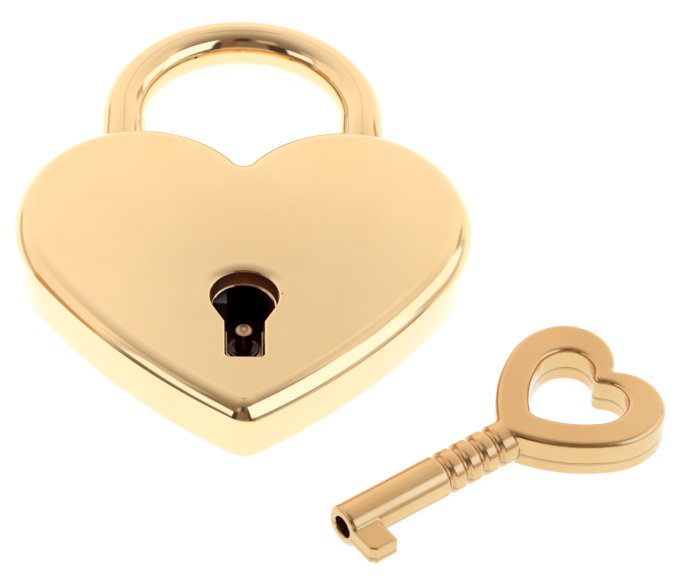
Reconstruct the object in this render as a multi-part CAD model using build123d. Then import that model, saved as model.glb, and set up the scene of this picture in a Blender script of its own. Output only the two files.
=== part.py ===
from build123d import *
import math
import os

# Heart padlock lying on its back, with its hollow-barrelled key beside it. Millimetres.
# X runs across the heart, +Y from the tip towards the shackle, +Z out of the face.
# The origin is on the back face, on the axis of the post that the key turns round.

# Case outline: each half is a chain of tangent arcs from the tip to the cleft.
case_width = 29.75
tip_to_post = 9.3
case_tip_radius = 1.7
case_side_radius = 43.3
case_shoulder_radius = 9.6
case_cleft_radius = 0.5
case_tip_angle = 57.2
case_shoulder_angle = 32.5
case_cleft_angle = 142.0

# Case section: face wall, chamber and the cover let into the back. The outside wall has the
# casting's draft, and above its corner the face rolls in wide and soft.
face_wall = 1.3
chamber_depth = 2.5
cover_thickness = 0.5
cover_inset = 1.1
cover_gap = 0.04
draft_angle = 2.2
face_roll_radius = 1.4
face_roll_slope = 27.0
base_edge_bevel = 0.2

# Keyhole in the face, a round over a slot joined by slanted cheeks.
keyhole_radius = 2.25
keyhole_rise = 1.1
keyhole_slot_width = 2.6
keyhole_slot_reach = 4.4
keyhole_cheek_angle = 28.0
keyhole_corner_radius = 0.35
keyhole_rim = 0.1

# Post that centres the hollow key, riveted through the cover.
post_diameter = 1.15
post_length = 2.25
post_collar_diameter = 2.05
post_collar_height = 0.12
post_dome = 0.15

# Shackle: a round rod bent to a U, one leg longer than the other.
rod_diameter = 3.0
leg_spacing = 15.9
arch_height = 19.7
short_leg_end = 9.4
long_leg_end = 5.2
leg_chamfer = 0.4
leg_clearance = 0.05
shackle_lift = 7.7

# Notch in the short leg and the sliding bolt that locks it.
bolt_nose_top = 13.0
bolt_nose_height = 1.2
bolt_engagement = 0.4
bolt_nose_bevel = 0.35
notch_play = 1.4
notch_depth = 0.55
notch_side_gap = 0.1
bolt_travel_share = 1 / 3
bolt_gap = 0.1
bolt_arm_left = -5.4
bolt_arm_width = 1.4
bolt_foot_bottom = 3.9
bolt_foot_height = 1.4
talon_right = -1.1
talon_width = 1.4
talon_bottom = 1.7
bolt_stop_gap = 0.15

# Key chamber that the bit sweeps.
sweep_clearance = 0.3

# Spring behind the bolt, on a spigot of the bolt's arm.
bolt_spring_wire = 0.25
bolt_spring_diameter = 1.6
bolt_spring_length = 5.0
bolt_spring_turn_count = 5
bolt_spring_height = 8.1
spring_pocket_gap = 0.1
spring_end_gap = 0.04
spigot_diameter = 0.8
spigot_length = 0.9

# Spring under the long leg.
lift_spring_wire = 0.3
lift_spring_diameter = 2.4
lift_spring_length = 4.0
lift_spring_turn_count = 4

# Both springs: straight runs in each turn, and flats round the wire.
turn_run_count = 12
wire_flat_count = 6

# Pin that stops the long leg, in a flat that ends in a turned neck.
stop_pin_diameter = 0.9
stop_pin_height = 14.6
stop_pin_seat = 0.6
stop_pin_gap = 0.08
flat_depth = 0.55
neck_height = 1.2

# Rivets of the cover.
rivet_diameter = 1.2
rivet_head_diameter = 1.9
rivet_head_depth = 0.25
rivet_depth = 2.6
rivet_side_inset = 3.0
rivet_side_height = 8.7
rivet_tip_inset = 3.25

# Key: one casting with a drilled barrel, a plain bit, four rings and a heart bow.
barrel_diameter = 2.8
barrel_end_bevel = 0.2
bore_diameter = 1.5
bore_depth = 5.0
barrel_length = 7.5
bit_length = 1.9
bit_reach = 3.2
bit_thickness = 1.3
bit_nick = 0.35
ring_count = 4
ring_pitch = 1.29
groove_width = 0.44
groove_depth = 0.26

bow_width = 11.3
bow_seat = 0.4
bow_thickness = 2.8
bow_tip_radius = 1.15
bow_side_radius = 10.4
bow_shoulder_radius = 4.35
bow_cleft_radius = 0.2
bow_tip_angle = 63.0
bow_shoulder_angle = 17.0
bow_cleft_angle = 141.7
bow_edge_bevel = 0.25

bow_hole_width = 6.8
bow_tip_wall = 2.45
bow_hole_tip_radius = 0.75
bow_hole_side_radius = 7.1
bow_hole_shoulder_radius = 2.1
bow_hole_cleft_radius = 0.5
bow_hole_tip_angle = 60.0
bow_hole_shoulder_angle = 37.0
bow_hole_cleft_angle = 143.7
bow_hole_edge_bevel = 0.2

# Where the key lies beside the lock.
key_place_x = 5.97
key_place_y = -16.25
key_angle = 35.7

# Sizes that follow from the ones above.
case_thickness = face_wall + chamber_depth + cover_thickness
chamber_top = cover_thickness + chamber_depth
rod_radius = rod_diameter / 2
leg_x = leg_spacing / 2
rod_z = case_thickness / 2
chamber_mid = cover_thickness + chamber_depth / 2
bolt_travel = shackle_lift * bolt_travel_share
bolt_nose_bottom = bolt_nose_top - bolt_nose_height
bolt_nose_tip = -leg_x + rod_radius - bolt_engagement
bolt_arm_right = bolt_arm_left + bolt_arm_width
talon_left = talon_right - talon_width
stop_pin_x = leg_x - rod_radius + flat_depth - stop_pin_gap - stop_pin_diameter / 2
neck_bottom = stop_pin_height - stop_pin_diameter / 2 - stop_pin_gap - shackle_lift
shaft_length = barrel_length + groove_width / 2 + ring_count * ring_pitch
bow_start = shaft_length - bow_seat
bow_hole_start = bow_start + bow_tip_wall


def polar(centre, radius, angle):
    """Point on a circle, the angle in degrees."""
    turn = math.radians(angle)
    return (centre[0] + radius * math.cos(turn), centre[1] + radius * math.sin(turn))


def arc(centre, radius, start, end):
    """Arc round a centre between two angles."""
    middle = (start + end) / 2
    return ThreePointArc(*(polar(centre, radius, angle) for angle in (start, middle, end)))


def heart(width, tip_y, radii, angles, inset=0.0):
    """Heart with its tip at tip_y, as a face; inset draws it in all round by that much.

    The radii are those of the tip, side, shoulder and cleft, and the angles say where the
    side, the shoulder and the lobe end. The lobe's radius closes the outline.
    """
    tip_r, side_r, shoulder_r, cleft_r = radii
    tip_angle, shoulder_angle, lobe_end = angles
    reach = width / 2 - shoulder_r + (side_r - tip_r) * math.cos(math.radians(tip_angle))
    side_end = math.degrees(math.acos(reach / (side_r - shoulder_r)))
    side_c = polar((0, tip_y + tip_r), side_r - tip_r, 180 - tip_angle)
    shoulder_c = polar(side_c, side_r - shoulder_r, -side_end)

    shoulder_cos = math.cos(math.radians(shoulder_angle))
    lobe_cos = math.cos(math.radians(lobe_end))
    lobe_room = shoulder_c[0] + shoulder_r * shoulder_cos + cleft_r * lobe_cos
    lobe_r = lobe_room / (shoulder_cos - lobe_cos)
    lobe_c = polar(shoulder_c, shoulder_r - lobe_r, shoulder_angle)
    cleft_c = polar(lobe_c, lobe_r + cleft_r, lobe_end)

    half = [
        arc(side_c, side_r - inset, -tip_angle, -side_end),
        arc(shoulder_c, shoulder_r - inset, -side_end, shoulder_angle),
        arc(lobe_c, lobe_r - inset, shoulder_angle, lobe_end),
    ]
    tip = arc((0, tip_y + tip_r), tip_r - inset, tip_angle - 180, -tip_angle)
    cleft = arc(cleft_c, cleft_r + inset, lobe_end - 180, -lobe_end)
    other_half = [edge.mirror(Plane.YZ) for edge in half]
    return make_face(Wire([tip, cleft, *half, *other_half]))


def case_heart(inset=0.0):
    """Outline of the case, drawn in by inset."""
    radii = (case_tip_radius, case_side_radius, case_shoulder_radius, case_cleft_radius)
    angles = (case_tip_angle, case_shoulder_angle, case_cleft_angle)
    return heart(case_width, -tip_to_post, radii, angles, inset)


def prism(face, bottom, top):
    """Face drawn at z = 0, raised from bottom to top."""
    return extrude(Pos(0, 0, bottom) * face, amount=top - bottom, dir=(0, 0, 1))


def block(x_range, y_range, z_range):
    """Box between two corners."""
    sizes = [high - low for low, high in (x_range, y_range, z_range)]
    middles = [(high + low) / 2 for low, high in (x_range, y_range, z_range)]
    return Pos(*middles) * Box(*sizes)


def rod_along_y(x, z, radius, bottom, top):
    """Round rod parallel to Y."""
    return Pos(x, (bottom + top) / 2, z) * Rot(90, 0, 0) * Cylinder(radius, top - bottom)


def pin_along_z(x, y, radius, bottom, top):
    """Round pin parallel to Z."""
    return Pos(x, y, (bottom + top) / 2) * Cylinder(radius, top - bottom)


def edges_at(solid, z):
    """Edges lying in the plane z."""
    found = []
    for edge in solid.edges():
        box = edge.bounding_box()
        if abs(box.min.Z - z) < 1e-4 and abs(box.max.Z - z) < 1e-4:
            found.append(edge)
    return found


def cut_edged(body, cutter, heights, bevel):
    """Body with the cutter's hole in it, the hole's rims at these heights bevelled."""
    before = sum((edges_at(body, height) for height in heights), [])
    body -= cutter
    after = sum((edges_at(body, height) for height in heights), [])
    return chamfer([edge for edge in after if edge not in before], bevel)


def make_keyhole():
    """Keyhole outline: round, slanted cheeks and a slot with rounded lower corners."""
    centre = (0, keyhole_rise)
    half_slot = keyhole_slot_width / 2
    right = polar(centre, keyhole_radius, -keyhole_cheek_angle)
    drop = (right[0] - half_slot) / math.tan(math.radians(keyhole_cheek_angle))
    neck_y = right[1] - drop
    bottom = -keyhole_slot_reach
    corner = keyhole_corner_radius
    corner_c = (half_slot - corner, bottom + corner)
    half = [
        Line(right, (half_slot, neck_y)),
        Line((half_slot, neck_y), (half_slot, bottom + corner)),
        arc(corner_c, corner, 0, -90),
    ]
    other_half = [edge.mirror(Plane.YZ) for edge in half]
    crown = arc(centre, keyhole_radius, -keyhole_cheek_angle, 180 + keyhole_cheek_angle)
    base = Line((half_slot - corner, bottom), (corner - half_slot, bottom))
    return make_face(Wire([crown, base, *half, *other_half]))


def make_bolt_pockets():
    """Room that the bolt needs in the casting, over its whole travel."""
    depth = (cover_thickness, chamber_top)
    end_room = bolt_travel + bolt_stop_gap
    arm_side = bolt_arm_left - bolt_gap
    nose = block(
        (-leg_x, bolt_arm_left),
        (bolt_nose_bottom - bolt_gap, bolt_nose_top + bolt_gap),
        depth,
    )
    arm = block(
        (arm_side, bolt_arm_right + end_room),
        (bolt_foot_bottom - bolt_gap, bolt_nose_top + bolt_gap),
        depth,
    )
    foot = block(
        (arm_side, talon_right + end_room),
        (bolt_foot_bottom - bolt_gap, bolt_foot_bottom + bolt_foot_height + bolt_gap),
        depth,
    )
    talon = block(
        (talon_left - bolt_gap, talon_right + end_room),
        (0, bolt_foot_bottom),
        depth,
    )
    spring_room = bolt_spring_diameter / 2 + spring_pocket_gap
    spring = block(
        (bolt_arm_left, bolt_arm_right + bolt_spring_length),
        (bolt_spring_height - spring_room, bolt_spring_height + spring_room),
        depth,
    )
    return nose + arm + foot + talon + spring


def make_leg_channel(x, bottom):
    """Channel for a leg: round through the top wall, open to the cover further in."""
    radius = rod_radius + leg_clearance
    round_part = rod_along_y(x, rod_z, radius, bottom, arch_height)
    open_part = block(
        (x - radius, x + radius),
        (bottom, bolt_nose_top + bolt_gap),
        (cover_thickness, rod_z),
    )
    return round_part + open_part


def make_rivet(x, y):
    """Countersunk rivet, flush with the back of the cover."""
    shank = pin_along_z(x, y, rivet_diameter / 2, 0, rivet_depth)
    head = Pos(x, y, rivet_head_depth / 2) * Cone(
        rivet_head_diameter / 2, rivet_diameter / 2, rivet_head_depth
    )
    return shank + head


def make_rivets():
    """The three rivets that hold the cover."""
    side_x = case_width / 2 - rivet_side_inset
    tip_y = rivet_tip_inset - tip_to_post
    places = [(-side_x, rivet_side_height), (side_x, rivet_side_height), (0, tip_y)]
    return [make_rivet(x, y) for x, y in places]


def make_stop_pin():
    """Pin beside the long leg, pressed into the face wall."""
    return pin_along_z(
        stop_pin_x,
        stop_pin_height,
        stop_pin_diameter / 2,
        cover_thickness,
        chamber_top + stop_pin_seat,
    )


def make_case_outside():
    """Solid heart: drafted wall, a crisp corner, and the wide roll up to the flat of the face."""
    slope = math.radians(face_roll_slope)
    corner_height = case_thickness - face_roll_radius * (1 - math.sin(slope))
    outline = Pos(0, 0, corner_height) * case_heart()
    wall = extrude(outline, amount=corner_height, dir=(0, 0, -1), taper=draft_angle)
    wall = chamfer(edges_at(wall, 0), base_edge_bevel)
    overhang = face_roll_radius * (1 - math.cos(slope))
    rolled = prism(case_heart(-overhang), 0, case_thickness)
    rolled = fillet(edges_at(rolled, case_thickness), face_roll_radius)
    cap = split(rolled, Plane.XY.offset(corner_height), keep=Keep.TOP)
    return wall + cap


def make_front_case():
    """Die-cast front: face and side wall in one, pocketed from the back."""
    body = make_case_outside()
    body -= prism(case_heart(cover_inset), 0, cover_thickness)
    sweep = bit_reach + sweep_clearance
    body -= pin_along_z(0, 0, sweep, cover_thickness, chamber_top)
    body -= make_bolt_pockets()
    body -= make_leg_channel(-leg_x, short_leg_end - bolt_gap)
    body -= make_leg_channel(leg_x, long_leg_end - lift_spring_length)
    keyhole = prism(make_keyhole(), cover_thickness, case_thickness)
    body = cut_edged(body, keyhole, [case_thickness], keyhole_rim)
    for rivet in make_rivets():
        body -= rivet
    return body - make_stop_pin()


def make_post():
    """Turned steel post with a low collar, riveted through the cover."""
    shank = pin_along_z(0, 0, post_diameter / 2, 0, post_length)
    shank = chamfer(edges_at(shank, post_length), post_dome)
    collar_top = cover_thickness + post_collar_height
    return shank + pin_along_z(0, 0, post_collar_diameter / 2, cover_thickness, collar_top)


def make_cover():
    """Flat cover let into the back of the case."""
    plate = prism(case_heart(cover_inset + cover_gap), 0, cover_thickness)
    plate -= pin_along_z(0, 0, post_diameter / 2, 0, cover_thickness)
    for rivet in make_rivets():
        plate -= rivet
    return plate


def make_leg(x, bottom):
    """One leg of the shackle, its end chamfered."""
    leg = rod_along_y(x, rod_z, rod_radius, bottom, arch_height)
    end = [edge for edge in leg.edges() if abs(edge.center().Y - bottom) < 1e-4]
    return chamfer(end, leg_chamfer)


def make_shackle():
    """Bent rod with the bolt's notch, the stop pin's flat and its turned neck."""
    section = Pos(leg_x, arch_height, rod_z) * Rot(90, 0, 0) * Circle(rod_radius)
    arch = revolve(section, Axis((0, arch_height, 0), (0, 0, 1)), 180)
    shackle = arch + make_leg(-leg_x, short_leg_end) + make_leg(leg_x, long_leg_end)
    depth = (rod_z - rod_radius, rod_z + rod_radius)
    notch_floor = rod_radius - leg_x - notch_depth
    shackle -= block(
        (notch_floor, 0),
        (bolt_nose_bottom - notch_play, bolt_nose_top + notch_side_gap),
        depth,
    )
    flat_floor = leg_x - rod_radius + flat_depth
    flat_top = stop_pin_height + stop_pin_diameter / 2 + stop_pin_gap
    shackle -= block((0, flat_floor), (neck_bottom, flat_top), depth)
    neck_top = neck_bottom + neck_height
    sleeve = rod_along_y(leg_x, rod_z, rod_diameter, neck_bottom, neck_top)
    sleeve -= rod_along_y(leg_x, rod_z, rod_radius - flat_depth, neck_bottom, neck_top)
    return shackle - sleeve


def make_bolt():
    """Sliding bolt: bevelled nose, arm, and a foot whose talon the key's bit pushes."""
    depth = (cover_thickness + bolt_gap, chamber_top - bolt_gap)
    nose_profile = Polyline(
        (bolt_arm_right, bolt_nose_bottom),
        (bolt_nose_tip, bolt_nose_bottom),
        (bolt_nose_tip, bolt_nose_top - bolt_nose_bevel),
        (bolt_nose_tip + bolt_nose_bevel, bolt_nose_top),
        (bolt_arm_right, bolt_nose_top),
        close=True,
    )
    nose = prism(make_face(nose_profile), *depth)
    arm = block((bolt_arm_left, bolt_arm_right), (bolt_foot_bottom, bolt_nose_top), depth)
    foot_top = bolt_foot_bottom + bolt_foot_height
    foot = block((bolt_arm_left, talon_right), (bolt_foot_bottom, foot_top), depth)
    talon = block((talon_left, talon_right), (talon_bottom, foot_top), depth)
    spigot = Pos(bolt_arm_right + spigot_length / 2, bolt_spring_height, chamber_mid)
    spigot *= Rot(0, 90, 0) * Cylinder(spigot_diameter / 2, spigot_length)
    return nose + arm + foot + talon + spigot


def make_spring(length, diameter, wire, turn_count):
    """Compression spring standing on z = 0, its wire in short straight runs."""
    radius = (diameter - wire) / 2
    runs = turn_count * turn_run_count
    points = []
    for step in range(runs + 1):
        x, y = polar((0, 0), radius, 360 * step / turn_run_count)
        points.append((x, y, wire / 2 + (length - wire) * step / runs))
    path = Wire(Polyline(*points))
    section = Plane(origin=path @ 0, z_dir=path % 0) * RegularPolygon(wire / 2, wire_flat_count)
    return sweep(section, path=path, transition=Transition.RIGHT)


def make_bolt_spring():
    """Spring between the bolt's arm and the end of its pocket."""
    length = bolt_spring_length - 2 * spring_end_gap
    coil = make_spring(length, bolt_spring_diameter, bolt_spring_wire, bolt_spring_turn_count)
    start = Pos(bolt_arm_right + spring_end_gap, bolt_spring_height, chamber_mid)
    return start * Rot(0, 90, 0) * coil


def make_lift_spring():
    """Spring that lifts the shackle, under the long leg."""
    length = lift_spring_length - 2 * spring_end_gap
    coil = make_spring(length, lift_spring_diameter, lift_spring_wire, lift_spring_turn_count)
    start = Pos(leg_x, long_leg_end - lift_spring_length + spring_end_gap, rod_z)
    return start * Rot(-90, 0, 0) * coil


def make_key_shaft():
    """Barrel and rings, turned about Y from the open end at y = 0."""
    radius = barrel_diameter / 2
    shaft = rod_along_y(0, 0, radius, 0, shaft_length)
    rim = [edge for edge in shaft.edges() if abs(edge.center().Y) < 1e-4]
    shaft = chamfer(rim, barrel_end_bevel)
    for ring in range(ring_count):
        middle = barrel_length + groove_width / 2 + ring * ring_pitch
        profile = Polyline(
            (radius + groove_depth, middle - groove_width),
            (radius - groove_depth, middle - groove_width / 4),
            (radius - groove_depth, middle + groove_width / 4),
            (radius + groove_depth, middle + groove_width),
            close=True,
        )
        shaft -= revolve(make_face(profile), Axis.Y, 360)
    return shaft


def make_bow():
    """Heart-shaped bow with its heart-shaped hole, its tip towards the barrel."""
    half = bow_thickness / 2
    outer_radii = (bow_tip_radius, bow_side_radius, bow_shoulder_radius, bow_cleft_radius)
    outer_angles = (bow_tip_angle, bow_shoulder_angle, bow_cleft_angle)
    bow = prism(heart(bow_width, bow_start, outer_radii, outer_angles), -half, half)
    bow = chamfer(edges_at(bow, half) + edges_at(bow, -half), bow_edge_bevel)
    hole_radii = (
        bow_hole_tip_radius,
        bow_hole_side_radius,
        bow_hole_shoulder_radius,
        bow_hole_cleft_radius,
    )
    hole_angles = (bow_hole_tip_angle, bow_hole_shoulder_angle, bow_hole_cleft_angle)
    outline = heart(bow_hole_width, bow_hole_start, hole_radii, hole_angles)
    return cut_edged(bow, prism(outline, -half, half), [half, -half], bow_hole_edge_bevel)


def make_bit():
    """Plain bit flush with the open end of the barrel, its outer front corner nicked."""
    profile = Polyline(
        (0, 0),
        (bit_reach - bit_nick, 0),
        (bit_reach, bit_nick),
        (bit_reach, bit_length),
        (0, bit_length),
        close=True,
    )
    return prism(make_face(profile), -bit_thickness / 2, bit_thickness / 2)


def make_key():
    """Whole key, laid beside the lock."""
    key = make_key_shaft() + make_bow() + make_bit()
    key -= rod_along_y(0, 0, bore_diameter / 2, 0, bore_depth)
    lie = Pos(key_place_x, key_place_y, barrel_diameter / 2) * Rot(0, 0, key_angle - 90)
    return lie * key


parts = {
    "front_case": make_front_case(),
    "back_cover": make_cover(),
    "cover_rivets": Compound(children=make_rivets()),
    "key_post": make_post(),
    "shackle": make_shackle(),
    "shackle_stop_pin": make_stop_pin(),
    "shackle_spring": make_lift_spring(),
    "locking_bolt": make_bolt(),
    "bolt_spring": make_bolt_spring(),
    "key": make_key(),
}

os.makedirs("parts", exist_ok=True)
for name, shape in parts.items():
    export_step(shape, f"parts/{name}.step")
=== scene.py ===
import math

import bmesh
import bpy
from mathutils import Matrix, Vector


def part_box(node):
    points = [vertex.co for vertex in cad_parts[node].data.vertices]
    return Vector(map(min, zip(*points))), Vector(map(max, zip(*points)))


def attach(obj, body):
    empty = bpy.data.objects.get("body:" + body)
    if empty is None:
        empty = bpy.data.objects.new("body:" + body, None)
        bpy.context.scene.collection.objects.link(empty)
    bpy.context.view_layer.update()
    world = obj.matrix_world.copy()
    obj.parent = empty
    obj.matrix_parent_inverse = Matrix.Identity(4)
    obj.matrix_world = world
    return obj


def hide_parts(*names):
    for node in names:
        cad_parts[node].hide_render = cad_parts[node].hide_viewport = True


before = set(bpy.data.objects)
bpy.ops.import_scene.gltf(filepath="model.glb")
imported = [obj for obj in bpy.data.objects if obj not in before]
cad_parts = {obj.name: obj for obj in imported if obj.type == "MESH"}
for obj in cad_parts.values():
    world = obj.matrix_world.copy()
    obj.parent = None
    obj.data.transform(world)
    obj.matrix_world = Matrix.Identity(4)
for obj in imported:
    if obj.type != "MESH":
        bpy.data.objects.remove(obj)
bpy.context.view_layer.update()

# Camera: a long lens that looks down on the lock from the side of its tip. Lengths are in
# millimetres all through, and MM turns them into the frame's metres.
MM = 0.001
scene = bpy.context.scene
scene.view_settings.view_transform = "Standard"

camera_distance = 300
camera_target = Vector((6.9793, 5.6447, 0))
camera_azimuth, camera_elevation, camera_roll = -3.2361, 44.6447, 2.9428
camera_sensor = 36.0
camera_lens = 236.85
camera_near = 10

camera_data = bpy.data.cameras.new("camera")
camera_data.sensor_width = camera_sensor
camera_data.lens = camera_lens
camera_data.clip_start = camera_near * MM
camera = bpy.data.objects.new("camera", camera_data)
scene.collection.objects.link(camera)
scene.camera = camera
turn = Matrix.Rotation(math.radians(camera_azimuth), 4, "Z")
turn = turn @ Matrix.Rotation(math.radians(90 - camera_elevation), 4, "X")
turn = turn @ Matrix.Rotation(math.radians(camera_roll), 4, "Z")
eye = (camera_target + turn.col[2].xyz * camera_distance) * MM
camera.matrix_world = Matrix.Translation(eye) @ turn


# Room: polished plating shows nothing but what stands round it, so the world is a light tent,
# white in front of the lock and open to a darker room behind the camera, with its softboxes.
def add_node(tree, kind, inputs=None, **settings):
    """New shader node. An input that is given a socket is linked to it, any other is set."""
    made = tree.nodes.new("ShaderNode" + kind)
    for name, value in settings.items():
        setattr(made, name, value)
    for name, value in (inputs or {}).items():
        if isinstance(value, bpy.types.NodeSocket):
            tree.links.new(value, made.inputs[name])
        else:
            made.inputs[name].default_value = value
    return made


def calculate(tree, operation, *values):
    """Result of a Math node."""
    made = add_node(tree, "Math", dict(enumerate(values)), operation=operation)
    return made.outputs["Value"]


def fade(tree, value, start, end, low=0.0, high=1.0):
    """Value mapped smoothly from start..end to low..high, and held beyond."""
    limits = {"Value": value, "From Min": start, "From Max": end, "To Min": low, "To Max": high}
    made = add_node(tree, "MapRange", limits, interpolation_type="SMOOTHSTEP")
    return made.outputs["Result"]


def blend_colours(tree, share, first, second, blend_type="MIX"):
    """Two colours mixed by a share."""
    made = add_node(tree, "Mix", data_type="RGBA", blend_type=blend_type)
    for index, value in ((0, share), (6, first), (7, second)):
        if isinstance(value, bpy.types.NodeSocket):
            tree.links.new(value, made.inputs[index])
        else:
            made.inputs[index].default_value = (*value, 1) if index else value
    return made.outputs[2]


def colour_ramp(tree, value, stops):
    """Colour read from a ramp whose stops are (place, colour)."""
    made = add_node(tree, "ValToRGB", {"Fac": value})
    elements = made.color_ramp.elements
    for place, _ in stops[2:]:
        elements.new(place)
    for element, (place, colour) in zip(elements, stops):
        element.position = place
        element.color = (*colour, 1)
    return made.outputs["Color"]


world = bpy.data.worlds.new("room")
world.use_nodes = True
scene.world = world
room = world.node_tree
direction = add_node(room, "TexCoord").outputs["Generated"]
split = add_node(room, "SeparateXYZ", {"Vector": direction})
look_x, look_y, look_z = (split.outputs[name] for name in "XYZ")
bearing = calculate(room, "DEGREES", calculate(room, "ARCTAN2", look_x, look_y))
height = calculate(room, "DEGREES", calculate(room, "ARCSINE", look_z))
over = calculate(room, "DEGREES", calculate(room, "ARCTAN2", look_z, look_y))

# The tent's brightness and warmth by degrees over the lock, from the far edge of the table to
# behind the camera.
tent_full = 1.25
tent_stops = [
    (0, 1.12, 0.0), (30, 1.08, 0.0), (40, 1.06, 0.0), (45, 1.03, 0.0), (50, 0.99, 0.0), (55, 0.95, 0.0),
    (60, 0.91, 0.0), (65, 0.86, 0.0), (70, 0.80, 0.02), (76, 0.72, 0.03), (82, 0.63, 0.05), (88, 0.52, 0.06),
    (95, 0.40, 0.10), (105, 0.28, 0.16), (120, 0.20, 0.2), (180, 0.20, 0.2),
]
stops = []
for degrees, brightness, warmth in tent_stops:
    value = brightness / tent_full
    stops.append((degrees / 180, (value * (1 + warmth), value, value * (1 - warmth))))
tent = colour_ramp(room, calculate(room, "DIVIDE", over, 180.0), stops)
scaled = add_node(room, "VectorMath", {0: tent, "Scale": tent_full}, operation="SCALE")
colour = scaled.outputs["Vector"]

# Bright and dark patches of the room, each as the bearing and height of its middle, half width,
# half height, slope, softness of its edge, and colour. All but slope and colour are in degrees.
room_patches = {
    "bright, left": (-80, 24, 22, 21, 0.0, 6, (1.00, 1.00, 1.00)),
    "grey, high on the left": (-103, 41, 8, 9, 0.0, 4, (0.66, 0.65, 0.63)),
    "pale, high on the right": (74, 51, 17, 9, 0.0, 5, (0.90, 0.90, 0.89)),
    "pale, ahead": (3.2, 53, 5.5, 11, 0.0, 4, (0.86, 0.86, 0.85)),
    "warm grey, overhead": (3.2, 75, 18, 13, 0.0, 5, (0.60, 0.55, 0.50)),
    "grey, low on the right": (96, 9, 42, 4.5, 0.0, 3, (0.74, 0.72, 0.70)),
    "grey, low on the left": (-62, 8, 22, 4.5, 0.0, 3, (0.70, 0.66, 0.62)),
    "brown, low on the left": (-90, 7, 10, 8, 0.0, 3, (0.66, 0.42, 0.20)),
    "grey, ahead on the right": (52, 21, 7, 6, 0.0, 4, (0.60, 0.56, 0.52)),
    "tan, low behind": (180, 8, 32, 9, 0.0, 6, (0.80, 0.60, 0.42)),
    "grey, high behind on the left": (-152, 53, 12, 6, 0.0, 3, (0.62, 0.53, 0.48)),
    "dark, behind on the left": (-143, 28, 11, 13, 0.0, 3, (0.07, 0.05, 0.04)),
    "dark, behind on the right": (151, 31, 5.5, 16, 0.0, 3, (0.08, 0.06, 0.05)),
    "dark red, behind": (165, 36, 7, 13, 0.0, 4, (0.30, 0.12, 0.08)),
    "dark, high behind": (178, 56, 11, 9, 0.0, 5, (0.09, 0.05, 0.07)),
    "softbox, left": (-117, 28.5, 15, 8.5, 0.0, 2.5, (1.14, 1.27, 1.50)),
    "small softbox, right": (76, 25, 17, 12, 0.3, 3, (1.12, 1.35, 1.65)),
    "large softbox, right": (118, 35.5, 28, 18.5, 0.23, 2.5, (1.12, 1.42, 1.90)),
}
for middle, level, half_width, half_height, slope, soft, tint in room_patches.values():
    aside = calculate(room, "WRAP", calculate(room, "SUBTRACT", bearing, middle), 180.0, -180.0)
    rise = calculate(room, "SUBTRACT", height, level)
    rise = calculate(room, "SUBTRACT", rise, calculate(room, "MULTIPLY", aside, slope))
    across = fade(room, calculate(room, "ABSOLUTE", aside), half_width + soft, half_width - soft)
    along = fade(room, calculate(room, "ABSOLUTE", rise), half_height + soft, half_height - soft)
    colour = blend_colours(room, calculate(room, "MULTIPLY", across, along), colour, tint)

seen = add_node(room, "LightPath").outputs["Is Camera Ray"]
colour = blend_colours(room, seen, colour, (1, 1, 1))
room.links.new(colour, room.nodes["Background"].inputs["Color"])

# Table: a white sheet. The lens and the plating see it bright, and the rest of its white
# takes the soft shadow of what lies on it.
table_size = 4000
table_glow = 0.93
table_white = 0.12
table_plain = 0.85
table_in_plating = 1.35
table_tint = (0.80, 0.93, 1.00)
table_mesh = bpy.data.meshes.new("table")
mesh = bmesh.new()
bmesh.ops.create_grid(mesh, x_segments=1, y_segments=1, size=table_size * MM / 2)
mesh.to_mesh(table_mesh)
mesh.free()
table = bpy.data.objects.new("table", table_mesh)
scene.collection.objects.link(table)
paper = bpy.data.materials.new("table_paper")
paper.use_nodes = True
tree = paper.node_tree
tree.nodes.remove(tree.nodes["Principled BSDF"])
path = add_node(tree, "LightPath")
plain = add_node(tree, "BsdfDiffuse", {"Color": (table_plain, table_plain, table_plain, 1)})
shaded = add_node(tree, "BsdfDiffuse", {"Color": (table_white, table_white, table_white, 1)})
glow = add_node(tree, "Emission", {"Strength": table_glow})
shown = add_node(tree, "AddShader", {0: shaded.outputs[0], 1: glow.outputs[0]})
mirrored = add_node(tree, "Emission", {"Color": (*table_tint, 1), "Strength": table_in_plating})
for_lens = add_node(tree, "MixShader", {
    "Fac": path.outputs["Is Camera Ray"], 1: plain.outputs[0], 2: shown.outputs[0],
})
in_plating = calculate(tree, "MAXIMUM", path.outputs["Is Glossy Ray"], path.outputs["Is Transmission Ray"])
surface = add_node(tree, "MixShader", {"Fac": in_plating, 1: for_lens.outputs[0], 2: mirrored.outputs[0]})
tree.links.new(surface.outputs[0], tree.nodes["Material Output"].inputs["Surface"])
table_mesh.materials.append(paper)

# Overhead lamp: wide and soft, it fills the tent for dull surfaces and stays out of the plating.
lamp_height = 600
lamp_size = 500
lamp_watts = 2.2
lamp_data = bpy.data.lights.new("overhead", "AREA")
lamp_data.size = lamp_size * MM
lamp_data.energy = lamp_watts
lamp = bpy.data.objects.new("overhead", lamp_data)
lamp.location = Vector((0, 0, lamp_height)) * MM
lamp.visible_glossy = False
scene.collection.objects.link(lamp)


# Front case: the lock's heart-shaped body, one zinc die casting with its side wall, copper and
# light gold plated and buffed to a mirror. The skin is drawn from the casting's own section, and
# its pockets, chamber and leg holes are those of the CAD solid.
def towards(degrees, length=1.0):
    """Step of a length in the plane of the heart, at an angle from +X."""
    angle = math.radians(degrees)
    return Vector((math.cos(angle), math.sin(angle), 0)) * length


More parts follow.
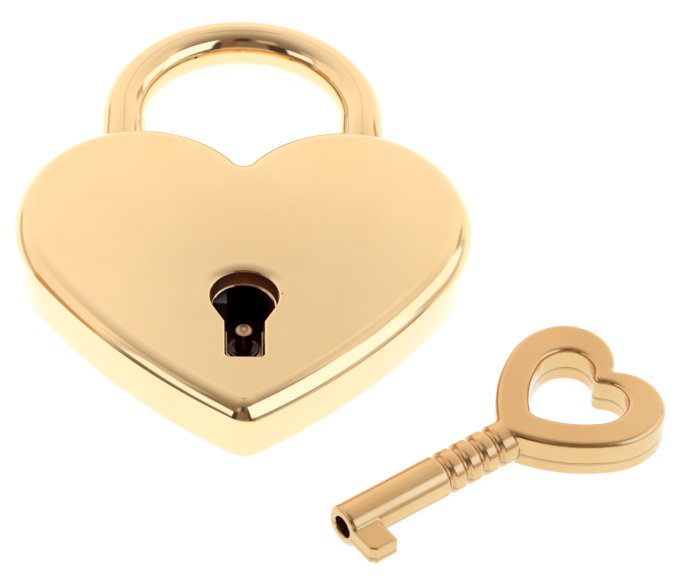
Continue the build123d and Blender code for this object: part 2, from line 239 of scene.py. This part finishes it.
def heart_arcs(width, tip_y, radii, angles):
    """Arcs of half a heart from its tip to its cleft, as (centre, radius, start, end)."""
    tip_r, side_r, shoulder_r, cleft_r = radii
    tip_end, shoulder_end, lobe_end = angles
    tip_c = Vector((0, tip_y + tip_r, 0))
    side_c = tip_c - towards(-tip_end, side_r - tip_r)
    side_reach = width / 2 - shoulder_r - side_c.x
    side_end = math.degrees(math.acos(side_reach / (side_r - shoulder_r)))
    shoulder_c = side_c + towards(-side_end, side_r - shoulder_r)
    shoulder_cos = math.cos(math.radians(shoulder_end))
    lobe_cos = math.cos(math.radians(lobe_end))
    lobe_room = shoulder_c.x + shoulder_r * shoulder_cos + cleft_r * lobe_cos
    lobe_r = lobe_room / (shoulder_cos - lobe_cos)
    lobe_c = shoulder_c + towards(shoulder_end, shoulder_r - lobe_r)
    cleft_c = lobe_c + towards(lobe_end, lobe_r + cleft_r)
    return [
        (tip_c, tip_r, -90, -tip_end),
        (side_c, side_r, -tip_end, -side_end),
        (shoulder_c, shoulder_r, -side_end, shoulder_end),
        (lobe_c, lobe_r, shoulder_end, lobe_end),
        (cleft_c, cleft_r, lobe_end - 180, -90),
    ]


def spin_on(mesh, vertex, centre, degrees, steps):
    """Line of edges spun from a vertex round a centre; gives its last vertex."""
    pivot = Vector((centre[0], centre[1], vertex.co.z))
    angle = math.radians(degrees)
    spun = bmesh.ops.spin(mesh, geom=[vertex], cent=pivot, axis=(0, 0, 1), angle=angle, steps=steps)
    return spun["geom_last"][0]


def close_half(mesh, known):
    """Mirrors the half loop that isn't among the known edges, and gives the loop's edges."""
    half = [edge for edge in mesh.edges if edge not in known]
    points = list({vertex for edge in half for vertex in edge.verts})
    bmesh.ops.mirror(mesh, geom=points + half, axis="X", merge_dist=1e-4)
    return [edge for edge in mesh.edges if edge not in known]


def heart_loop(mesh, arcs, steps, inset, level):
    """Closed heart drawn in by inset, as a loop of edges at a level."""
    known = set(mesh.edges)
    centre, radius = arcs[0][:2]
    start = (0, centre.y - radius + inset, level)
    vertex = bmesh.ops.create_vert(mesh, co=start)["vert"][0]
    for (centre, _, first, last), count in zip(arcs, steps):
        vertex = spin_on(mesh, vertex, centre, last - first, count)
    return close_half(mesh, known)


def skin_between(mesh, loops, apart=0):
    """Bands of faces from each loop to the next.

    Loops of one plane bridge badly, so each is drawn apart from the last, and is brought back here.
    """
    rings = [{vertex for edge in loop for vertex in edge.verts} for loop in loops]
    for lower, upper in zip(loops, loops[1:]):
        bmesh.ops.bridge_loops(mesh, edges=lower + upper)
    for index, ring in enumerate(rings):
        bmesh.ops.translate(mesh, verts=list(ring), vec=(0, 0, -apart * index))


def finish_mesh(mesh, name, scale=MM):
    """Mesh with its faces smooth and pointing outwards, in metres."""
    bmesh.ops.recalc_face_normals(mesh, faces=mesh.faces)
    bmesh.ops.transform(mesh, matrix=Matrix.Scale(scale, 4), verts=mesh.verts)
    for face in mesh.faces:
        face.smooth = True
    made = bpy.data.meshes.new(name)
    mesh.to_mesh(made)
    mesh.free()
    return made


def merged_cad(node):
    """Copy of a CAD node's mesh with its loose triangles joined."""
    mesh = bmesh.new()
    mesh.from_mesh(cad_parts[node].data)
    bmesh.ops.remove_doubles(mesh, verts=mesh.verts, dist=1e-8)
    return finish_mesh(mesh, node + "_merged", 1.0)


def add_piece(name, mesh, body, node, sharp=32):
    """Object of a finished mesh that rides on a body and stands for a CAD node."""
    mesh.set_sharp_from_angle(angle=math.radians(sharp))
    piece = bpy.data.objects.new(name, mesh)
    scene.collection.objects.link(piece)
    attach(piece, body)
    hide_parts(node)


def shared_with_cad(skin, node, plug=None):
    """Mesh of what a closed skin and the CAD node share; the CAD's faces get the second material.

    A plug first fills a hole of the CAD node that the skin has in a finer form.
    """
    inside = merged_cad(node)
    for material in skin.materials:
        inside.materials.append(material)
    for polygon in inside.polygons:
        polygon.material_index = 1
    pieces = [bpy.data.objects.new(data.name, data) for data in (skin, inside, plug) if data]
    for piece in pieces:
        scene.collection.objects.link(piece)
    steps = [(pieces[0], "INTERSECT", pieces[1])]
    if plug:
        steps.append((pieces[1], "UNION", pieces[2]))
    for piece, operation, other in steps:
        cut = piece.modifiers.new("cad", "BOOLEAN")
        cut.operation = operation
        cut.solver = "EXACT"
        cut.object = other
    graph = bpy.context.evaluated_depsgraph_get()
    made = bpy.data.meshes.new_from_object(pieces[0].evaluated_get(graph))
    for piece in pieces:
        bpy.data.objects.remove(piece)
    return made


def object_place(tree):
    """Place on the piece in its own coordinates."""
    return add_node(tree, "TexCoord").outputs["Object"]


def coordinate(tree, place, axis):
    """One coordinate of a place."""
    return add_node(tree, "SeparateXYZ", {"Vector": place}).outputs[axis]


def from_middle(tree, place, y):
    """Distance, seen from above, from the point at y on the heart's middle line."""
    flat = add_node(tree, "Mapping", {"Vector": place, "Location": (0, -y * MM, 0), "Scale": (1, 1, 0)})
    return add_node(tree, "VectorMath", {0: flat.outputs[0]}, operation="LENGTH").outputs["Value"]


def darken(material, share, dark):
    """Mixes a dark tone into a material's base colour by a share."""
    base = material.node_tree.nodes["Principled BSDF"].inputs["Base Color"]
    tone = blend_colours(material.node_tree, share, base.links[0].from_socket, dark)
    material.node_tree.links.new(tone, base)


def add_relief(material, height, depth, strength=1.0):
    """Lays a height over a material's earlier bumps; its depth is in millimetres."""
    tree = material.node_tree
    normal = tree.nodes["Principled BSDF"].inputs["Normal"]
    settings = {"Height": height, "Strength": strength, "Distance": depth * MM}
    if normal.is_linked:
        settings["Normal"] = normal.links[0].from_socket
    tree.links.new(add_node(tree, "Bump", settings).outputs[0], normal)


# Patterns of the metal, in repeats per metre: a tone that drifts, clouds of haze, marks of the
# cloth, waves left by the mop, and cells of which about half hold a pit. Depths are millimetres.
drift_scale = 140.0
drift_range = (0.35, 0.7)
cloud_scale = 420.0
cloud_range = (0.3, 0.75)
mark_scale = 2600.0
mark_depth = 0.0006
wave_scale = 260.0
wave_depth = 0.006
wave_strength = 0.5
pit_scale = 260.0
pit_chance = (0.55, 0.6)
pit_edge, pit_floor = 0.022, 0.014
pit_colour = (0.10, 0.05, 0.03)
lacquer_roughness = 0.04
crown_middle = 4


def metal(name, base, deep, roughness, haze, wear=0.35, specks=True, crown=0.0, lacquer=0.6):
    """Metal with drifts, haze, marks and waves. Plating can have pits, lacquer and a crown too."""
    material = bpy.data.materials.new(name)
    material.use_nodes = True
    tree = material.node_tree
    shader = tree.nodes["Principled BSDF"]
    shader.inputs["Metallic"].default_value = 1.0
    shader.inputs["Coat Weight"].default_value = lacquer
    shader.inputs["Coat Roughness"].default_value = lacquer_roughness
    place = object_place(tree)
    drift = add_node(tree, "TexNoise", {"Vector": place, "Scale": drift_scale, "Detail": 3.0}).outputs["Fac"]
    tone = blend_colours(tree, fade(tree, drift, *drift_range), base, deep)
    tree.links.new(tone, shader.inputs["Base Color"])
    if specks:
        cells = add_node(tree, "TexVoronoi", {"Vector": place, "Scale": pit_scale})
        chance = add_node(tree, "SeparateColor", {"Color": cells.outputs["Color"]}).outputs[0]
        inside_pit = fade(tree, cells.outputs["Distance"], pit_edge, pit_floor)
        pit = calculate(tree, "MULTIPLY", inside_pit, fade(tree, chance, *pit_chance))
        darken(material, pit, pit_colour)
    cloud = add_node(tree, "TexNoise", {"Vector": place, "Scale": cloud_scale, "Detail": 5.0}).outputs["Fac"]
    gloss = fade(tree, cloud, *cloud_range, roughness, roughness + haze)
    tree.links.new(gloss, shader.inputs["Roughness"])
    marks = add_node(tree, "TexNoise", {"Vector": place, "Scale": mark_scale, "Detail": 4.0}).outputs["Fac"]
    add_relief(material, marks, mark_depth, wear)
    waves = add_node(tree, "TexNoise", {"Vector": place, "Scale": wave_scale, "Detail": 1.0}).outputs["Fac"]
    add_relief(material, waves, wave_depth, wave_strength)
    if crown:
        away = from_middle(tree, place, crown_middle)
        fall = calculate(tree, "MULTIPLY", calculate(tree, "MULTIPLY", away, away), -crown)
        add_relief(material, fall, 1 / MM)
    return material


# Outline: radii of the tip, side, shoulder and cleft, the angles that the tip, shoulder and lobe
# end at, and the steps of its five arcs.
case_radii = (1.7, 43.3, 9.6, 0.5)
case_angles = (57.2, 32.5, 142.0)
case_steps = (14, 40, 26, 52, 14)
case_low, case_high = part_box("front_case")
case_height = case_high.z / MM
case_width = (case_high.x - case_low.x) / MM
case_arcs = heart_arcs(case_width, case_low.y / MM, case_radii, case_angles)

# Section: the skin lies just inside the CAD solid, with a drafted wall and rounded edges.
skin_gap = 0.03
draft = 2.2
corner_radius = 0.15
corner_steps = 8
base_radius = 0.22
base_steps = 6
roll_steps = 9
flat_margin = 0.1
face_level = case_height - skin_gap
loops_apart = 5


def arc_on(section, radius, start, end, steps):
    """Carries a section on by an arc between two slopes in degrees."""
    inset, level = section[-1]
    first = math.radians(start)
    for step in range(1, steps + 1):
        slope = math.radians(start + (end - start) * step / steps)
        section.append((
            inset + radius * (math.cos(first) - math.cos(slope)),
            level + radius * (math.sin(slope) - math.sin(first)),
        ))


def case_section(rolls):
    """(inset, level) of each loop of the case's skin, from the back to the flat of the face.

    The rolls are the arcs over the corner, as (radius, start, end) in degrees of slope.
    """
    corner_end = rolls[0][1]
    rise = corner_radius * (math.sin(math.radians(corner_end)) + math.sin(math.radians(draft)))
    for radius, start, end in rolls:
        rise += radius * (math.sin(math.radians(end)) - math.sin(math.radians(start)))
    wall_top = face_level - rise
    base_inset = skin_gap + (wall_top - base_radius) * math.tan(math.radians(draft))
    section = [(base_inset + base_radius, skin_gap / 2)]
    arc_on(section, base_radius, -90, -draft, base_steps)
    section.append((skin_gap, wall_top))
    arc_on(section, corner_radius, -draft, corner_end, corner_steps)
    for radius, start, end in rolls:
        arc_on(section, radius, start, end, roll_steps)
    inset, level = section[-1]
    return section + [(inset + flat_margin, level)]


def case_rings(rolls):
    """New mesh with the heart loops of a section, and the loops."""
    mesh = bmesh.new()
    rings = []
    for index, (inset, level) in enumerate(case_section(rolls)):
        rings.append(heart_loop(mesh, case_arcs, case_steps, inset, level + loops_apart * index))
    return mesh, rings


def ease(value, start, end):
    """Smooth step from 0 at the start to 1 at the end."""
    share = min(1, max(0, (value - start) / (end - start)))
    return share * share * (3 - 2 * share)


# The buffing left a wide roll round the lobes, and nearly a bevel along the two lower sides,
# narrower on the left.
lobe_rolls = [(1.4, 27, 54), (1.4, 54, 74), (1.4, 74, 90)]
left_rolls = [(1.9, 33, 54), (1.5, 54, 80), (1.2, 80, 90)]
right_rolls = [(2.6, 33, 54), (1.4, 54, 80), (1.0, 80, 90)]
lobes_end, sides_start = 11, 4
tip_blend = 1.2
mesh, outer = case_rings(lobe_rolls)
left, right = (case_rings(rolls)[0] for rolls in (left_rolls, right_rolls))
for vertex, on_left, on_right in zip(mesh.verts, left.verts, right.verts):
    lower = on_left.co.lerp(on_right.co, ease(vertex.co.x, -tip_blend, tip_blend))
    vertex.co = vertex.co.lerp(lower, ease(vertex.co.y, lobes_end, sides_start))
left.free()
right.free()
skin_between(mesh, outer, loops_apart)

# Keyhole: a round over a slot, with a small rounded rim, a dip in the face above the round, and
# near the inside a thin ledge that the core of the die left off centre.
keyhole_radius = 2.25
keyhole_rise = 1.1
keyhole_half_slot = 1.3
keyhole_reach = 4.4
keyhole_cheek = 28
keyhole_corner = 0.35
corner_spin_steps = 8
round_spin_steps = 40
mouth_spread = -0.05
rim_radius = 0.14
rim_steps = 7
dip_depth = 0.03
dip_width = 0.45
dip_steps = 8
dip_start, dip_full = 1.6, 3.3
ledge_level = 3.16
ledge_spread = -0.14
ledge_round = 0.03
ledge_thickness = 0.1
lip_spread = -0.25
lip_shift = -0.045
slot_lip = 0.045
slot_end, round_start = 0.4, 1.2


def keyhole_loop(mesh, spread, level):
    """Closed keyhole outline spread outwards, as a loop of edges at a level."""
    known = set(mesh.edges)
    side = keyhole_half_slot + spread
    low = -keyhole_reach - spread
    radius = keyhole_radius + spread
    cheek = towards(-keyhole_cheek, radius) + Vector((0, keyhole_rise, 0))
    neck = cheek.y - (cheek.x - side) / math.tan(math.radians(keyhole_cheek))
    vertex = bmesh.ops.create_vert(mesh, co=(0, low, level))["vert"][0]

    def line_to(start, x, y):
        """Vertex at the end of a new straight edge."""
        end = bmesh.ops.extrude_vert_indiv(mesh, verts=[start])["verts"][0]
        end.co = (x, y, level)
        return end

    vertex = line_to(vertex, keyhole_half_slot - keyhole_corner, low)
    corner = (keyhole_half_slot - keyhole_corner, keyhole_corner - keyhole_reach)
    vertex = spin_on(mesh, vertex, corner, 90, corner_spin_steps)
    vertex = line_to(vertex, side, neck)
    vertex = line_to(vertex, cheek.x, cheek.y)
    spin_on(mesh, vertex, (0, keyhole_rise), 90 + keyhole_cheek, round_spin_steps)
    return close_half(mesh, known)


def keyhole_section(top):
    """(spread, level) of each loop of the keyhole, from the face past the ledge to the back."""
    section = []
    for step in range(dip_steps + 1):
        section.append((mouth_spread + rim_radius + dip_width * (1 - step / dip_steps), top))
    for step in range(1, rim_steps + 1):
        angle = math.radians(90 * step / rim_steps)
        section.append((
            mouth_spread + rim_radius * (1 - math.sin(angle)),
            top - rim_radius * (1 - math.cos(angle)),
        ))
    section += [(ledge_spread, ledge_level + ledge_round), (ledge_spread - ledge_round, ledge_level)]
    section += [(lip_spread + ledge_round, ledge_level), (lip_spread, ledge_level - ledge_round)]
    return section + [(skin_gap, ledge_level - ledge_thickness), (skin_gap, skin_gap / 2)]


hole = []
for index, (spread, level) in enumerate(keyhole_section(face_level)):
    hole.append(keyhole_loop(mesh, spread, level - loops_apart * index))
    from_rim = max(0, spread - mouth_spread - rim_radius) / dip_width
    dip = dip_depth * max(0, 1 - from_rim) ** 2
    for vertex in {vertex for edge in hole[-1] for vertex in edge.verts}:
        if level > ledge_level + ledge_thickness:
            vertex.co.z -= dip * ease(vertex.co.y, dip_start, dip_full)
        elif spread <= lip_spread + ledge_round:
            in_round = ease(vertex.co.y, slot_end, round_start)
            vertex.co.x += lip_shift * in_round + math.copysign(slot_lip, vertex.co.x) * (1 - in_round)
skin_between(mesh, hole, -loops_apart)
bmesh.ops.triangle_fill(mesh, use_beauty=True, edges=outer[-1] + hole[0])
bmesh.ops.triangle_fill(mesh, use_beauty=True, edges=outer[0] + hole[-1])
case_skin = finish_mesh(mesh, "case_skin")

# Plug that fills the CAD solid's plainer keyhole in the face wall.
plug_spread = 0.4
plug_under, plug_over = 0.12, 0.1
plug_levels = (ledge_level - plug_under, case_height + plug_over)
mesh = bmesh.new()
ends = [keyhole_loop(mesh, plug_spread, level) for level in plug_levels]
skin_between(mesh, ends)
for end in ends:
    bmesh.ops.triangle_fill(mesh, use_beauty=True, edges=end)
keyhole_plug = finish_mesh(mesh, "keyhole_plug")

gold = (0.96, 0.675, 0.35)
deep_gold = (0.94, 0.645, 0.32)
case_plating = metal("case_plating", gold, deep_gold, roughness=0.03, haze=0.04, crown=1.6)

# Painted shade: the plating's colour is darkened on the face just above the keyhole's round.
painted_shade_reach = 3.1
painted_shade_start, painted_shade_full = 2.2, 3.3
painted_shade_share = 0.75
painted_shade_colour = (0.30, 0.13, 0.06)
tree = case_plating.node_tree
place = object_place(tree)
near = fade(tree, from_middle(tree, place, keyhole_rise), painted_shade_reach * MM, keyhole_radius * MM)
above = fade(tree, coordinate(tree, place, "Y"), painted_shade_start * MM, painted_shade_full * MM)
painted_shade = calculate(tree, "MULTIPLY", calculate(tree, "MULTIPLY", near, above), painted_shade_share)
darken(case_plating, painted_shade, painted_shade_colour)

# The chamber and the keyhole's wall were never buffed; their dark brown is painted shade.
inside_shade_brown, deep_inside_shade_brown = (0.42, 0.15, 0.07), (0.24, 0.08, 0.04)
case_inside = metal("case_inside", inside_shade_brown, deep_inside_shade_brown, roughness=0.38, haze=0.15, specks=False)
case_skin.materials.append(case_plating)
case_skin.materials.append(case_inside)
wall_low, wall_high = ledge_level + ledge_round, face_level - rim_radius
for polygon in case_skin.polygons:
    spot = polygon.center / MM
    in_keyhole = abs(spot.x) < keyhole_radius and abs(spot.y) < keyhole_reach
    if in_keyhole and wall_low < spot.z < wall_high:
        polygon.material_index = 1
case_mesh = shared_with_cad(case_skin, "front_case", keyhole_plug)
add_piece("front_case_casting", case_mesh, "case", "front_case")


# Shackle: a 3 mm steel rod bent to a U, copper and gold plated and polished. Its notch, its flat
# and its turned neck are those of the CAD solid.
rod_radius = 1.485
rod_sides = 72
arch_steps = 120
leg_x = 7.95
arch_y = 19.7
end_margin = 0.1
shackle_low, shackle_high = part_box("shackle")
rod_z = (shackle_low.z + shackle_high.z) / 2 / MM
long_end = shackle_low.y / MM - end_margin
short_end = 9.3


def pull_face(mesh, face, y):
    """Extrudes an end face of the rod to a place along Y and gives the new end face."""
    made = bmesh.ops.extrude_face_region(mesh, geom=[face])["geom"]
    end = [item for item in made if isinstance(item, bmesh.types.BMFace)][0]
    shift = y - end.calc_center_median().y
    bmesh.ops.translate(mesh, verts=end.verts, vec=(0, shift, 0))
    return end


mesh = bmesh.new()
facing = Matrix.Translation((leg_x, long_end, rod_z)) @ Matrix.Rotation(math.pi / 2, 4, "X")
bmesh.ops.create_circle(mesh, cap_ends=True, radius=rod_radius, segments=rod_sides, matrix=facing)
face = pull_face(mesh, mesh.faces[:][0], arch_y)
spun = bmesh.ops.spin(
    mesh, geom=[face], cent=(0, arch_y, 0), axis=(0, 0, 1), angle=math.pi, steps=arch_steps
)
face = [item for item in spun["geom_last"] if isinstance(item, bmesh.types.BMFace)][0]
pull_face(mesh, face, short_end)

# The faces that were spun and pulled are still inside the rod, and are taken out.
disks = [face for face in mesh.faces if len(face.verts) == rod_sides]
buried = [disk for disk in disks if min(vertex.co.y for vertex in disk.verts) > short_end + 1]
bmesh.ops.delete(mesh, geom=buried, context="FACES_ONLY")
shackle_skin = finish_mesh(mesh, "shackle_skin")
shackle_plating = metal("shackle_plating", gold, deep_gold, roughness=0.04, haze=0.04)
# The notch, flat and neck take the second slot, and are plated like the rest.
shackle_skin.materials.append(shackle_plating)
shackle_skin.materials.append(shackle_plating)
shackle_mesh = shared_with_cad(shackle_skin, "shackle")
add_piece("shackle_rod", shackle_mesh, "shackle", "shackle")


# Key: one zinc casting with a drilled barrel, tumbled to a satin and gold plated. Painted shade
# darkens its grooves, and the two halves of the die left a fine seam along its sides.
voxel = 0.076
soften_rounds = 9
key_sharp = 80
key_gold, deep_key_gold = (0.84, 0.515, 0.235), (0.78, 0.46, 0.19)
groove_shade_reach = 0.6
groove_shade_open, groove_shade_closed = 0.9, 0.45
groove_shade_share = 0.85
groove_shade_colour = (0.30, 0.13, 0.03)
seam_half_width = 0.05
seam_share_of_height = 0.4
seam_depth = 0.04
seam_share = 0.3
seam_colour = (0.35, 0.16, 0.05)
key_source = bpy.data.objects.new("key_source", merged_cad("key"))
scene.collection.objects.link(key_source)
cast = key_source.modifiers.new("cast", "REMESH")
cast.mode = "VOXEL"
cast.voxel_size = voxel * MM
soften = key_source.modifiers.new("soften", "SMOOTH")
soften.iterations = soften_rounds
graph = bpy.context.evaluated_depsgraph_get()
key_mesh = bpy.data.meshes.new_from_object(key_source.evaluated_get(graph))
bpy.data.objects.remove(key_source)
for polygon in key_mesh.polygons:
    polygon.use_smooth = True
key_plating = metal("key_plating", key_gold, deep_key_gold, roughness=0.20, haze=0.08, wear=1.0, lacquer=0.3)
key_mesh.materials.clear()
key_mesh.materials.append(key_plating)
tree = key_plating.node_tree
# Painted shade: ambient occlusion darkens the plating's colour where the grooves close in.
around = add_node(tree, "AmbientOcclusion", {"Distance": groove_shade_reach * MM}, samples=8, only_local=True)
groove_shade = fade(tree, around.outputs["AO"], groove_shade_open, groove_shade_closed, 0.0, groove_shade_share)
darken(key_plating, groove_shade, groove_shade_colour)
seam_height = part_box("key")[1].z * seam_share_of_height
above_seam = calculate(tree, "SUBTRACT", coordinate(tree, object_place(tree), "Z"), seam_height)
from_seam = calculate(tree, "ABSOLUTE", above_seam)
seam = fade(tree, from_seam, 2 * seam_half_width * MM, seam_half_width * MM)
add_relief(key_plating, seam, seam_depth)
darken(key_plating, calculate(tree, "MULTIPLY", seam, seam_share), seam_colour)
add_piece("key_casting", key_mesh, "key", "key", key_sharp)


# Back cover: a flat die-cast plate let into the back of the case, plated with it but not buffed.
# Its inner side, in the chamber, is darkened nearly to black: painted shade.
cover_shade_start, cover_shade_full = 0.45, 0.55
cover_painted_shade = (0.10, 0.035, 0.015)
cover_tone, deep_cover_tone = (0.95, 0.67, 0.34), (0.92, 0.63, 0.31)


def dress(node, material):
    """Gives every slot of a CAD node its material."""
    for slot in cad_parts[node].material_slots:
        slot.material = material


cover_gold = metal("cover_plating", cover_tone, deep_cover_tone, roughness=0.10, haze=0.08)
tree = cover_gold.node_tree
depth = coordinate(tree, object_place(tree), "Z")
# Painted shade: the cover's inner side, down in the chamber, is darkened nearly to black.
darken(cover_gold, fade(tree, depth, cover_shade_start * MM, cover_shade_full * MM), cover_painted_shade)
dress("back_cover", cover_gold)


# Cover rivets: three countersunk zinc rivets, driven through the cover into the case and peened
# flush; the hammer left their heads finely dimpled.
dimple_scale = 3500.0
dimple_depth = 0.02
rivet_tone, deep_rivet_tone = (0.93, 0.65, 0.32), (0.86, 0.58, 0.27)
rivet_gold = metal("rivet_zinc", rivet_tone, deep_rivet_tone, roughness=0.16, haze=0.10, specks=False)
tree = rivet_gold.node_tree
dimples = add_node(tree, "TexVoronoi", {"Vector": object_place(tree), "Scale": dimple_scale})
add_relief(rivet_gold, dimples.outputs["Distance"], dimple_depth)
dress("cover_rivets", rivet_gold)


# Key post: a turned steel pin with a low collar, riveted through the cover. The key's barrel turns
# on it, and its end keeps the rings of the parting tool under a film of copper.
post_radius = 0.575
post_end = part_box("key_post")[1].z / MM
post_sides = 64
collar_radius = 1.025
collar_low, collar_high = 0.5, 0.62
collar_edge = 0.03
post_dome = [(0.0, 0.10), (0.02, 0.06), (0.08, 0.035), (0.25, 0.01), (0.495, 0.0)]
post_section = [
    (post_radius, 0.0), (post_radius, collar_low), (collar_radius - collar_edge, collar_low),
    (collar_radius, collar_low + collar_edge), (collar_radius, collar_high - collar_edge),
    (collar_radius - collar_edge, collar_high), (post_radius, collar_high),
]
for inset, depth in post_dome:
    post_section.append((post_radius - inset, post_end - depth))
mesh = bmesh.new()
turned = []
for index, (radius, level) in enumerate(post_section):
    spot = Matrix.Translation((0, 0, level + loops_apart * index))
    ring = bmesh.ops.create_circle(mesh, radius=radius, segments=post_sides, matrix=spot)["verts"]
    turned.append(list({edge for vertex in ring for edge in vertex.link_edges}))
skin_between(mesh, turned, loops_apart)
for end in (turned[0], turned[-1]):
    bmesh.ops.edgeloop_fill(mesh, edges=end)
post_mesh = finish_mesh(mesh, "key_post_turned")

copper_start, copper_full = 2.1, 2.17
copper_film = (0.60, 0.35, 0.20)
swirl_scale = 900.0
swirl_range = (0.35, 0.75)
swirl_depth = 0.01
swirl_share = 0.6
swirl_colour = (0.12, 0.05, 0.03)
# Painted shade: the shaft and collar, down in the chamber, are a dark brown far below steel's own tone.
post_shade_brown, deep_post_shade_brown = (0.17, 0.10, 0.07), (0.11, 0.06, 0.04)
bare_steel = {"specks": False, "lacquer": 0.0}
steel = metal("turned_steel", post_shade_brown, deep_post_shade_brown, roughness=0.22, haze=0.12, **bare_steel)
tree = steel.node_tree
place = object_place(tree)
swirl = add_node(tree, "TexWave", {
    "Vector": place, "Scale": swirl_scale, "Distortion": 5.0, "Detail": 2.0, "Detail Scale": 0.6,
}, wave_type="RINGS", rings_direction="Z").outputs["Fac"]
end_of_post = fade(tree, coordinate(tree, place, "Z"), copper_start * MM, copper_full * MM)
darken(steel, end_of_post, copper_film)
marked = calculate(tree, "MULTIPLY", fade(tree, swirl, *swirl_range), end_of_post)
darken(steel, calculate(tree, "MULTIPLY", marked, swirl_share), swirl_colour)
add_relief(steel, swirl, swirl_depth)
post_mesh.materials.append(steel)
add_piece("key_post_turned", post_mesh, "case", "key_post")


# Shackle stop pin: a turned steel pin pressed into the case beside the long leg; the leg's flat
# ends against it, so that the shackle can't leave the case.
turning_scale = 5000.0
turning_depth = 0.004
pin_grey, deep_pin_grey = (0.48, 0.45, 0.42), (0.40, 0.37, 0.34)
pin_steel = metal("pin_steel", pin_grey, deep_pin_grey, roughness=0.25, haze=0.10, **bare_steel)
tree = pin_steel.node_tree
waves = {"Vector": object_place(tree), "Scale": turning_scale, "Distortion": 1.0}
rings = add_node(tree, "TexWave", waves, bands_direction="Z")
add_relief(pin_steel, rings.outputs["Fac"], turning_depth)
dress("shackle_stop_pin", pin_steel)


# Locking bolt: a flat steel pressing that slides in the chamber; its nose holds the notch of the
# short leg, and the key's bit draws it back.
drawn_scale = (600, 9000, 9000)
drawn_depth = 0.006
# Painted shade: the bolt's steel is darkened to a dim grey, down in the chamber.
bolt_shade_grey, deep_bolt_shade_grey = (0.17, 0.17, 0.18), (0.11, 0.11, 0.12)
bolt_steel = metal("bolt_steel", bolt_shade_grey, deep_bolt_shade_grey, roughness=0.28, haze=0.14, **bare_steel)
tree = bolt_steel.node_tree
stretched = add_node(tree, "Mapping", {"Vector": object_place(tree), "Scale": drawn_scale}).outputs[0]
drawn = add_node(tree, "TexNoise", {"Vector": stretched, "Scale": 1.0, "Detail": 3.0})
add_relief(bolt_steel, drawn.outputs["Fac"], drawn_depth)
dress("locking_bolt", bolt_steel)


# Springs: one behind the bolt and one under the long leg, coiled from bare drawn wire that the
# heat of tempering turned brown in places.
scale_patches = 7000.0
scale_depth = 0.006
wire_grey, wire_brown = (0.42, 0.42, 0.44), (0.34, 0.27, 0.20)
wire_steel = metal("spring_wire", wire_grey, wire_brown, roughness=0.24, haze=0.14, **bare_steel)
tree = wire_steel.node_tree
scaly = add_node(tree, "TexNoise", {"Vector": object_place(tree), "Scale": scale_patches, "Detail": 3.0})
add_relief(wire_steel, scaly.outputs["Fac"], scale_depth)
dress("shackle_spring", wire_steel)
dress("bolt_spring", wire_steel)
